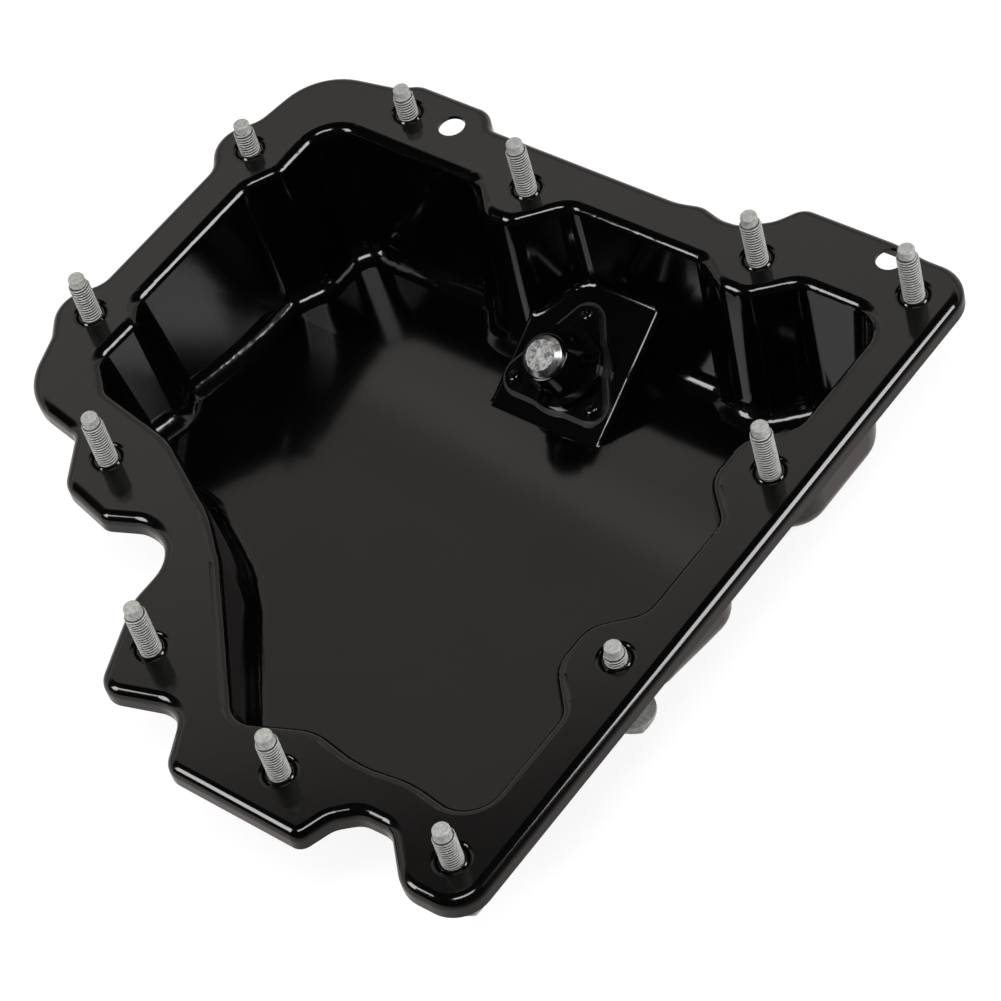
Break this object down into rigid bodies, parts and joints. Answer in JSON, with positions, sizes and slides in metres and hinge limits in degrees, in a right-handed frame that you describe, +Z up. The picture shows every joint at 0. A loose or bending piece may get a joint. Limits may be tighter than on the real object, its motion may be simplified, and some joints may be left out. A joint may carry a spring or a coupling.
{
  "type": "engine oil pan",
  "caption": "Stamped steel engine oil pan with a flat flange, turned-down rim, deep sump with a ramped floor, captive bolts and a riveted drain insert on a tilted pad.",
  "frame": {"origin": "axis of the corner bolt, bolt_01, on the flange's sealing face", "axes": "+Z up out of the sealing face, towards the engine; +X along the straight front row of bolts; +Y across the pan towards the back; the sump hangs below z = 0"},
  "size_m": [0.309, 0.3039, 0.087],
  "materials": {
    "black_paint": "gloss",
    "sleeve_black": "satin",
    "insert_black": "gloss",
    "rivet_black": "gloss",
    "gasket_rubber": "matte",
    "zinc": "matte zinc plate",
    "plug_steel": "bright turned",
    "seal_copper": "plain copper"
  },
  "bodies": {
    "pan": {"pan_shell": "black_paint", "drain_gasket": "gasket_rubber", "drain_insert": "insert_black", "drain_seal_ring": "seal_copper", "drain_plug": "plug_steel", "rivet_1": "rivet_black", "rivet_2": "rivet_black", "rivet_3": "rivet_black", "sleeve_01": "sleeve_black", "sleeve_02": "sleeve_black", "sleeve_03": "sleeve_black", "sleeve_04": "sleeve_black", "sleeve_05": "sleeve_black", "sleeve_06": "sleeve_black", "sleeve_07": "sleeve_black", "sleeve_08": "sleeve_black", "sleeve_09": "sleeve_black", "sleeve_10": "sleeve_black", "sleeve_11": "sleeve_black", "sleeve_12": "sleeve_black"},
    "bolt_01_body": {"bolt_01": "zinc"},
    "bolt_02_body": {"bolt_02": "zinc"},
    "bolt_03_body": {"bolt_03": "zinc"},
    "bolt_04_body": {"bolt_04": "zinc"},
    "bolt_05_body": {"bolt_05": "zinc"},
    "bolt_06_body": {"bolt_06": "zinc"},
    "bolt_07_body": {"bolt_07": "zinc"},
    "bolt_08_body": {"bolt_08": "zinc"},
    "bolt_09_body": {"bolt_09": "zinc"},
    "bolt_10_body": {"bolt_10": "zinc"},
    "bolt_11_body": {"bolt_11": "zinc"},
    "bolt_12_body": {"bolt_12": "zinc"}
  },
  "joints": [
    {"name": "bolt_01_slide", "type": "slide", "parent": "pan", "child": "bolt_01_body", "axis": [0, 0, 1], "range_m": [-0.01475, 0.00675]},
    {"name": "bolt_02_slide", "type": "slide", "parent": "pan", "child": "bolt_02_body", "axis": [0, 0, 1], "range_m": [-0.00475, 0.01675]},
    {"name": "bolt_03_slide", "type": "slide", "parent": "pan", "child": "bolt_03_body", "axis": [0, 0, 1], "range_m": [-0.0215, 0]},
    {"name": "bolt_04_slide", "type": "slide", "parent": "pan", "child": "bolt_04_body", "axis": [0, 0, 1], "range_m": [-0.0215, 0]},
    {"name": "bolt_05_slide", "type": "slide", "parent": "pan", "child": "bolt_05_body", "axis": [0, 0, 1], "range_m": [-0.02, 0.0015]},
    {"name": "bolt_06_slide", "type": "slide", "parent": "pan", "child": "bolt_06_body", "axis": [0, 0, 1], "range_m": [-0.0215, 0]},
    {"name": "bolt_07_slide", "type": "slide", "parent": "pan", "child": "bolt_07_body", "axis": [0, 0, 1], "range_m": [-0.01075, 0.01075]},
    {"name": "bolt_08_slide", "type": "slide", "parent": "pan", "child": "bolt_08_body", "axis": [0, 0, 1], "range_m": [-0.0115, 0.01]},
    {"name": "bolt_09_slide", "type": "slide", "parent": "pan", "child": "bolt_09_body", "axis": [0, 0, 1], "range_m": [-0.01775, 0.00375]},
    {"name": "bolt_10_slide", "type": "slide", "parent": "pan", "child": "bolt_10_body", "axis": [0, 0, 1], "range_m": [-0.0205, 0.001]},
    {"name": "bolt_11_slide", "type": "slide", "parent": "pan", "child": "bolt_11_body", "axis": [0, 0, 1], "range_m": [-0.02075, 0.00075]},
    {"name": "bolt_12_slide", "type": "slide", "parent": "pan", "child": "bolt_12_body", "axis": [0, 0, 1], "range_m": [-0.0185, 0.003]}
  ]
}
